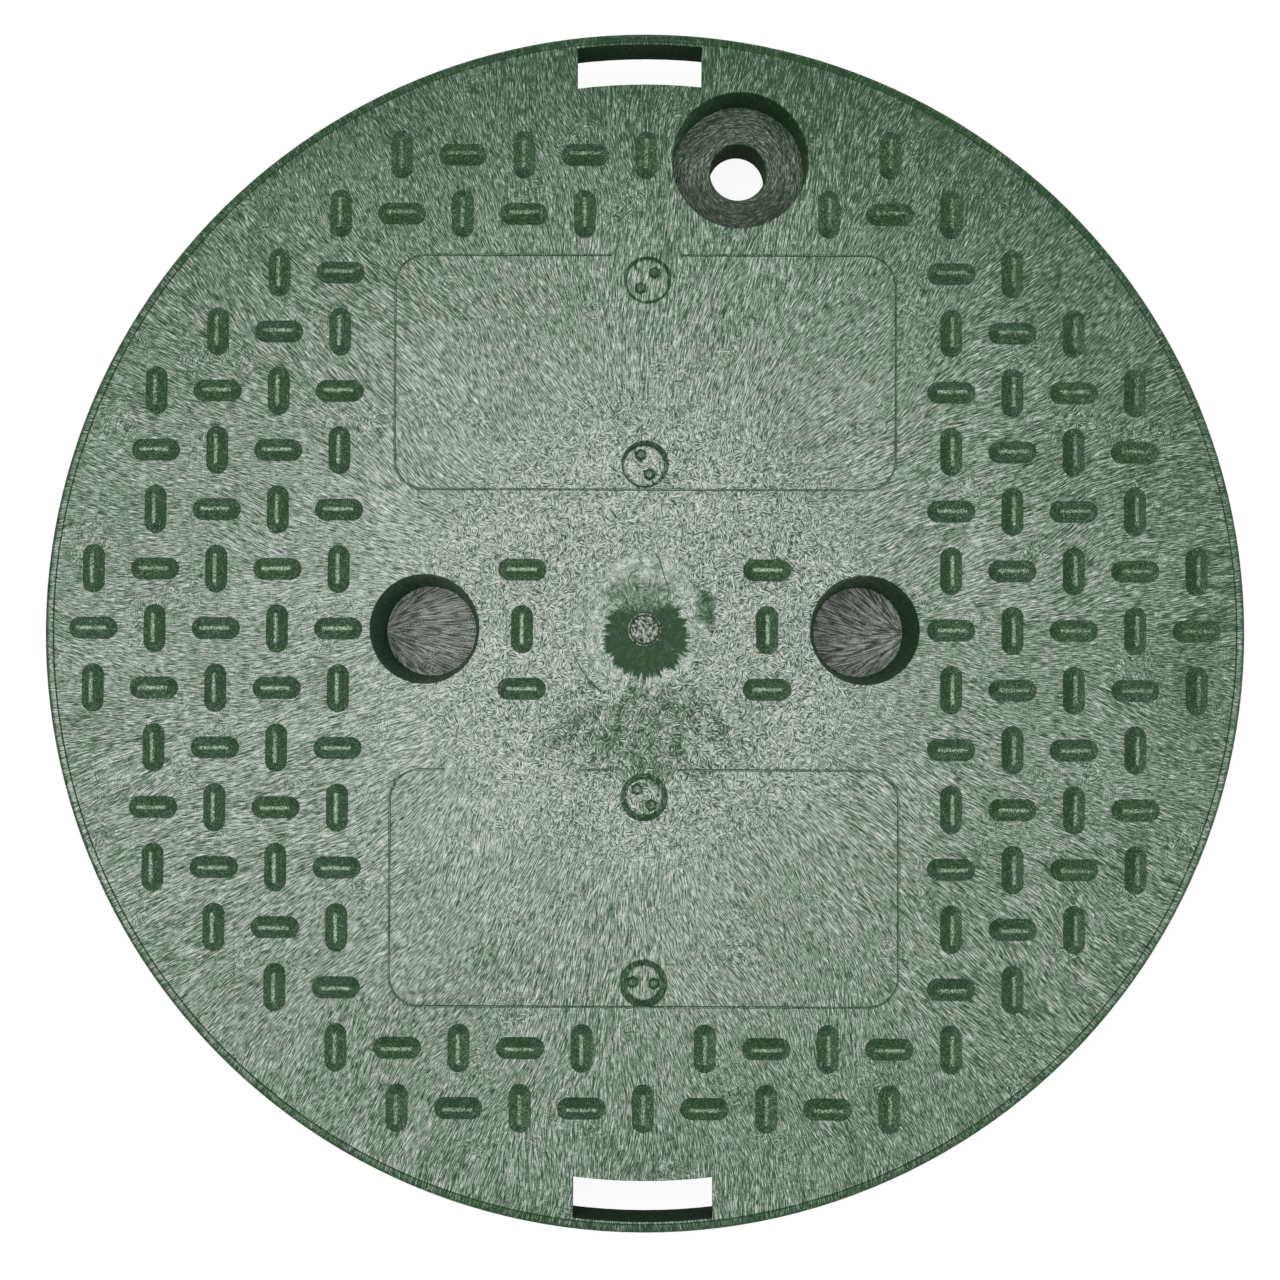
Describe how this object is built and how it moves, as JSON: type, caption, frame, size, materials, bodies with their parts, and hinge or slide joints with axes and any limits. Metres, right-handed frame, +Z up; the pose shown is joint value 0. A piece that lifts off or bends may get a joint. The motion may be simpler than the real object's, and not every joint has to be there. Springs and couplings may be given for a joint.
{
  "type": "valve box cover",
  "caption": "Round moulded plastic lid for an in-ground valve box, with raised tread bars, finger wells, a recessed bolt hole and edge slots.",
  "frame": {"origin": "on the cover's axis, at the foot of the inner ring that it stands on", "axes": "+Z up out of the tread face, +Y towards the slot beside the bolt recess"},
  "size_m": [0.2666, 0.2666, 0.027],
  "materials": {
    "green_plastic": "fibre-filled green moulded plastic, matte, with pale flow streaks"
  },
  "bodies": {
    "root": {"valve_box_cover": "green_plastic"}
  },
  "joints": []
}
